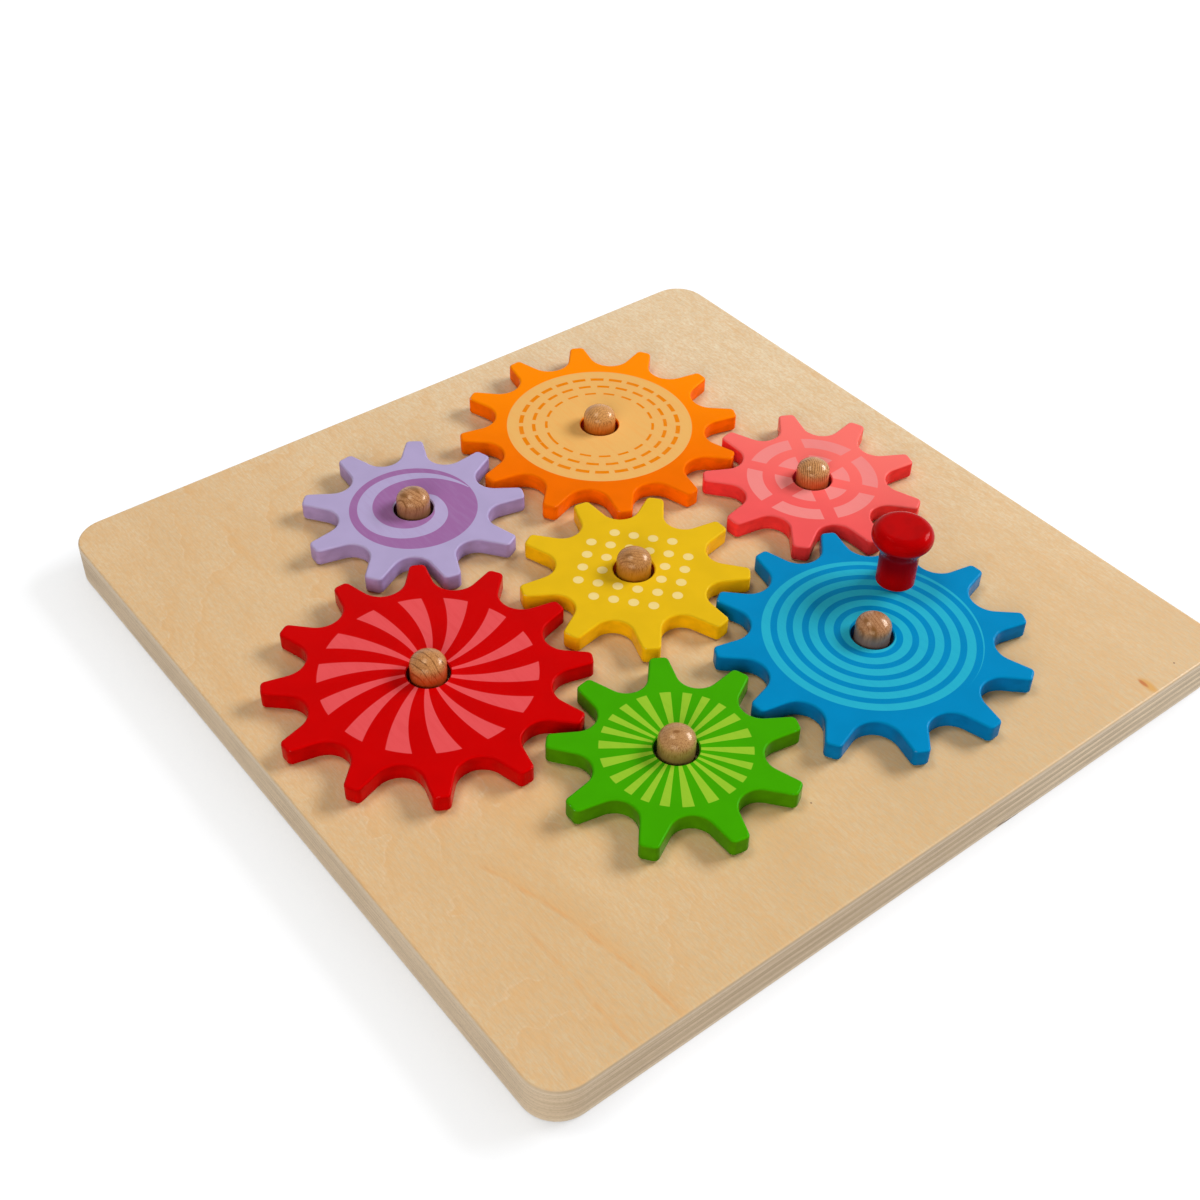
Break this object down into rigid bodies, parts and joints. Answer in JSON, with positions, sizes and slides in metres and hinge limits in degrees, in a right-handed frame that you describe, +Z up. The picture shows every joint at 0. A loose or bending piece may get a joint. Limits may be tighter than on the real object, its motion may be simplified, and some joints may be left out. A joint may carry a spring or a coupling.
{
  "type": "crank gear toy",
  "caption": "Square plywood board with domed dowel pegs carrying a ring of loose painted wooden gears round a middle one; a turned knob on one gear cranks them all.",
  "frame": {"origin": "centre of the board's underside", "axes": "+Z up, the way the pegs stand; +X along the board's side from the corner by the blue and green gears' side towards the pink gear; +Y from the green and blue gears towards the purple and orange"},
  "size_m": [0.285, 0.285, 0.0448],
  "materials": {
    "face_ply": "satin",
    "long_ply": "matte",
    "cross_ply": "matte",
    "peg_wood": "satin",
    "yellow_paint": "satin",
    "pink_paint": "satin",
    "orange_paint": "satin",
    "purple_paint": "satin",
    "red_paint": "satin",
    "green_paint": "satin",
    "blue_paint": "satin",
    "knob_lacquer": "gloss"
  },
  "bodies": {
    "board": {"bottom_face_ply": "face_ply", "core_ply_1": "cross_ply", "core_ply_2": "long_ply", "core_ply_3": "cross_ply", "core_ply_4": "long_ply", "core_ply_5": "cross_ply", "core_ply_6": "long_ply", "core_ply_7": "cross_ply", "top_face_ply": "face_ply", "peg_yellow": "peg_wood", "peg_pink": "peg_wood", "peg_orange": "peg_wood", "peg_purple": "peg_wood", "peg_red": "peg_wood", "peg_green": "peg_wood", "peg_blue": "peg_wood"},
    "yellow_gear": {"gear_yellow": "yellow_paint"},
    "pink_gear": {"gear_pink": "pink_paint"},
    "orange_gear": {"gear_orange": "orange_paint"},
    "purple_gear": {"gear_purple": "purple_paint"},
    "red_gear": {"gear_red": "red_paint"},
    "green_gear": {"gear_green": "green_paint"},
    "blue_gear": {"gear_blue": "blue_paint", "crank_knob": "knob_lacquer"}
  },
  "joints": [
    {"name": "blue_spin", "type": "hinge", "parent": "board", "child": "blue_gear", "pos_m": [0.0433, -0.07145, 0.01855], "axis": [0, 0, 1], "continuous": true},
    {"name": "yellow_spin", "type": "hinge", "parent": "board", "child": "yellow_gear", "pos_m": [0.0013, 0.0013, 0.01855], "axis": [0, 0, 1], "continuous": true},
    {"name": "pink_spin", "type": "hinge", "parent": "board", "child": "pink_gear", "pos_m": [0.0853, 0.0013, 0.01855], "axis": [0, 0, 1], "continuous": true},
    {"name": "orange_spin", "type": "hinge", "parent": "board", "child": "orange_gear", "pos_m": [0.0433, 0.07405, 0.01855], "axis": [0, 0, 1], "continuous": true},
    {"name": "purple_spin", "type": "hinge", "parent": "board", "child": "purple_gear", "pos_m": [-0.0407, 0.07405, 0.01855], "axis": [0, 0, 1], "continuous": true},
    {"name": "red_spin", "type": "hinge", "parent": "board", "child": "red_gear", "pos_m": [-0.0827, 0.0013, 0.01855], "axis": [0, 0, 1], "continuous": true},
    {"name": "green_spin", "type": "hinge", "parent": "board", "child": "green_gear", "pos_m": [-0.0407, -0.07145, 0.01855], "axis": [0, 0, 1], "continuous": true}
  ],
  "couplings": [
    {"joint": "yellow_spin", "follows": "blue_spin", "ratio": -1.3333},
    {"joint": "pink_spin", "follows": "blue_spin", "ratio": -1.3333},
    {"joint": "orange_spin", "follows": "blue_spin", "ratio": 1},
    {"joint": "purple_spin", "follows": "blue_spin", "ratio": -1.3333},
    {"joint": "red_spin", "follows": "blue_spin", "ratio": 1},
    {"joint": "green_spin", "follows": "blue_spin", "ratio": -1.3333}
  ]
}
